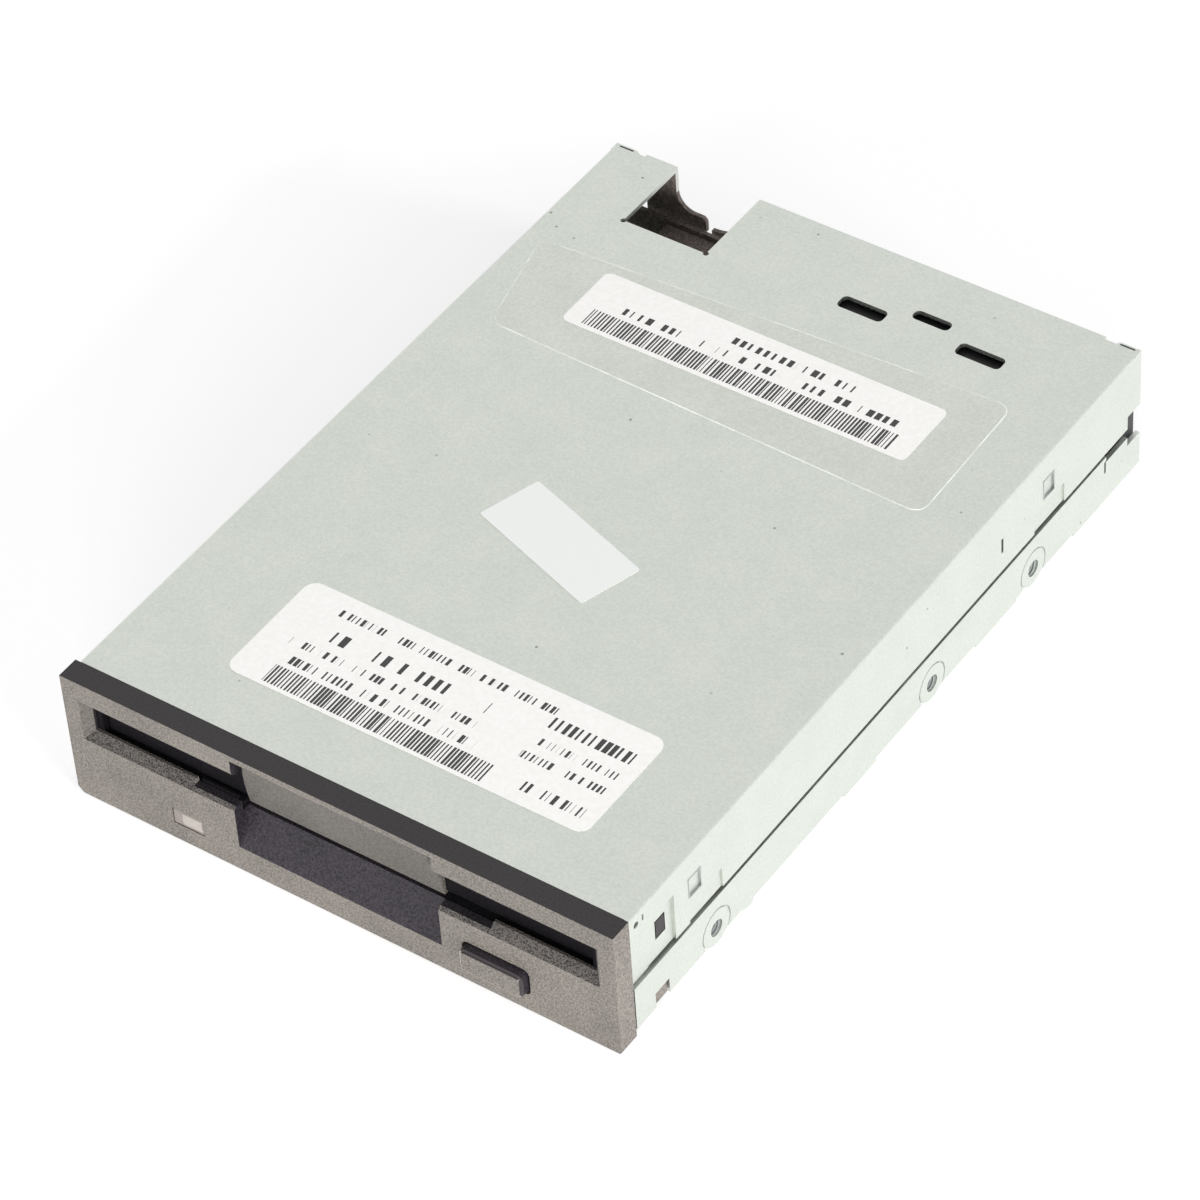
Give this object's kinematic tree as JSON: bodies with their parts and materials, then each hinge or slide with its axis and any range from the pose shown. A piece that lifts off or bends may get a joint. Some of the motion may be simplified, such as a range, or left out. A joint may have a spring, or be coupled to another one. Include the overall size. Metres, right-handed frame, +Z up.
{
  "type": "floppy disk drive",
  "caption": "Internal 3.5-inch floppy disk drive with bezel, flap, eject button, disk cage, spindle, head carriage, boards and connectors inside a folded sheet cover.",
  "frame": {"origin": "centre of the bottom of the bounding box, on the plane of the bottom mounting bosses", "axes": "+X to the right as seen from the front, +Y from the bezel to the rear connectors, +Z up"},
  "size_m": [0.1016, 0.1502, 0.025],
  "materials": {
    "zinc_sheet": "satin",
    "bright_steel": "satin",
    "spring_steel": "satin",
    "dark_abs": "textured",
    "black_plastic": "matte",
    "lens_plastic": "translucent",
    "cream_plastic": "matte",
    "carriage_plastic": "matte",
    "white_label": "matte",
    "silver_label": "satin",
    "gold_plate": "polished",
    "copper_wire": "satin",
    "magnet_ferrite": "matte",
    "head_ceramic": "polished",
    "green_board": "satin",
    "brown_board": "satin",
    "flex_film": "gloss"
  },
  "bodies": {
    "drive": {"front_bezel": "dark_abs", "door_spring": "spring_steel", "led_lens": "lens_plastic", "led": "lens_plastic", "eject_spring_right": "spring_steel", "eject_spring_left": "spring_steel", "chassis": "zinc_sheet", "top_cover": "zinc_sheet", "label_rear": "white_label", "label_middle": "silver_label", "label_front": "white_label", "sensor_board": "green_board", "sensor_board_screw": "bright_steel", "write_protect_switch": "black_plastic", "disk_in_switch": "black_plastic", "density_switch": "black_plastic", "motor_board": "brown_board", "motor_board_screw_1": "bright_steel", "motor_board_screw_2": "bright_steel", "motor_board_screw_3": "bright_steel", "bearing_sleeve": "gold_plate", "stator_core": "bright_steel", "stator_coils": "copper_wire", "guide_rod_main": "bright_steel", "guide_rod_sub": "bright_steel", "stepper_motor": "zinc_sheet", "stepper_bracket": "bright_steel", "bracket_screw_1": "bright_steel", "bracket_screw_2": "bright_steel", "main_board": "green_board", "main_board_screw_1": "bright_steel", "main_board_screw_2": "bright_steel", "main_board_screw_3": "bright_steel", "controller_chip": "black_plastic", "track_sensor": "black_plastic", "head_flex": "flex_film", "data_connector": "black_plastic", "data_pins": "gold_plate", "power_connector": "cream_plastic", "power_pins": "gold_plate"},
    "door": {"door_flap": "black_plastic", "door_bulge": "dark_abs"},
    "slider": {"slide_plate": "bright_steel", "eject_button": "dark_abs"},
    "cage": {"disk_cage": "bright_steel", "lever_spring": "spring_steel"},
    "lever": {"shutter_lever": "bright_steel"},
    "write_plunger": {"write_protect_plunger": "cream_plastic"},
    "disk_plunger": {"disk_in_plunger": "cream_plastic"},
    "hd_plunger": {"density_plunger": "cream_plastic"},
    "spindle": {"rotor_cup": "zinc_sheet", "magnet_ring": "magnet_ferrite", "spindle_hub": "bright_steel", "drive_pin": "bright_steel"},
    "carriage": {"head_carriage": "carriage_plastic", "lower_head": "head_ceramic", "arm_pivot_pin": "bright_steel"},
    "arm": {"head_arm": "carriage_plastic", "upper_head": "head_ceramic"},
    "screw": {"lead_screw": "bright_steel"}
  },
  "joints": [
    {"name": "door_swing", "type": "hinge", "parent": "drive", "child": "door", "pos_m": [0, -0.0693, 0.0216], "axis": [1, 0, 0], "range_deg": [0, 70], "stiffness_Nm_per_rad": 0.0006, "springref_deg": -17.19},
    {"name": "slide_out", "type": "slide", "parent": "drive", "child": "slider", "axis": [0, -1, 0], "range_m": [0, 0.005]},
    {"name": "cage_drop", "type": "slide", "parent": "drive", "child": "cage", "axis": [0, 0, -1], "range_m": [0, 0.0024]},
    {"name": "lever_swing", "type": "hinge", "parent": "cage", "child": "lever", "pos_m": [-0.038, 0.0225, 0.0199], "axis": [0, 0, 1], "range_deg": [0, 68], "stiffness_Nm_per_rad": 0.0003, "springref_deg": -17.19},
    {"name": "write_press", "type": "slide", "parent": "drive", "child": "write_plunger", "axis": [0, 0, -1], "range_m": [0, 0.0012], "stiffness_N_per_m": 30, "springref_m": -0.0005},
    {"name": "disk_press", "type": "slide", "parent": "drive", "child": "disk_plunger", "axis": [0, 0, -1], "range_m": [0, 0.0012], "stiffness_N_per_m": 30, "springref_m": -0.0005},
    {"name": "hd_press", "type": "slide", "parent": "drive", "child": "hd_plunger", "axis": [0, 0, -1], "range_m": [0, 0.0012], "stiffness_N_per_m": 30, "springref_m": -0.0005},
    {"name": "spindle_spin", "type": "hinge", "parent": "drive", "child": "spindle", "pos_m": [0, -0.0145, 0.012], "axis": [0, 0, 1], "continuous": true},
    {"name": "carriage_step", "type": "slide", "parent": "drive", "child": "carriage", "axis": [0, -1, 0], "range_m": [0, 0.0148]},
    {"name": "arm_lower", "type": "hinge", "parent": "carriage", "child": "arm", "pos_m": [0, 0.045, 0.0155], "axis": [1, 0, 0], "range_deg": [0, 12]},
    {"name": "screw_turn", "type": "hinge", "parent": "drive", "child": "screw", "pos_m": [0.0135, 0.027, 0.0085], "axis": [0, 1, 0], "range_deg": [0, 1776]}
  ],
  "couplings": [
    {"joint": "cage_drop", "follows": "slide_out", "ratio": 0.48},
    {"joint": "arm_lower", "follows": "slide_out", "rad_per_m": 41.88},
    {"joint": "screw_turn", "follows": "carriage_step", "rad_per_m": 2094.3}
  ]
}
